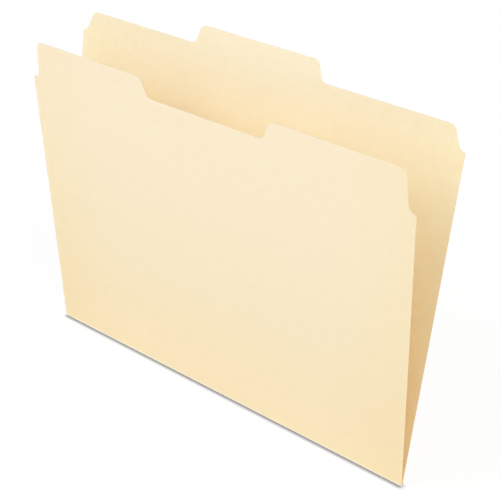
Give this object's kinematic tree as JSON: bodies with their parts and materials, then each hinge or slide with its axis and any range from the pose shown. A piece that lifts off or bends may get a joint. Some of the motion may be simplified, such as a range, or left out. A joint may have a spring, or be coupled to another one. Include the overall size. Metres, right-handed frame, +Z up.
{
  "type": "file folder",
  "caption": "Letter-size card file folder on its fold, part open: a shorter front leaf with a thumb cut, hinged to a taller back leaf with a centre index tab.",
  "frame": {"origin": "on the ground, under the middle of the fold", "axes": "+X along the fold, +Z up, the front leaf faces -Y and the back leaf +Y"},
  "size_m": [0.2954, 0.0512, 0.2411],
  "materials": {
    "manila_card": "matt, pale buff uncoated card with a fine fibre grain",
    "creased_card": "the same matt card, pressed into a tight fold, a little paler where fibres are crushed"
  },
  "bodies": {
    "fold_crease": {"fold_crease": "creased_card"},
    "back_leaf": {"back_leaf": "manila_card"},
    "front_leaf": {"front_leaf": "manila_card"}
  },
  "joints": [
    {"name": "back_leaf_fold", "type": "hinge", "parent": "fold_crease", "child": "back_leaf", "pos_m": [0, 0, 0.00053], "axis": [-1, 0, 0], "range_deg": [-6.27, 84.05]},
    {"name": "front_leaf_fold", "type": "hinge", "parent": "fold_crease", "child": "front_leaf", "pos_m": [0, 0, 0.00053], "axis": [1, 0, 0], "range_deg": [-6.23, 83.45]}
  ],
  "couplings": [
    {"joint": "front_leaf_fold", "follows": "back_leaf_fold", "ratio": 0.99275}
  ]
}
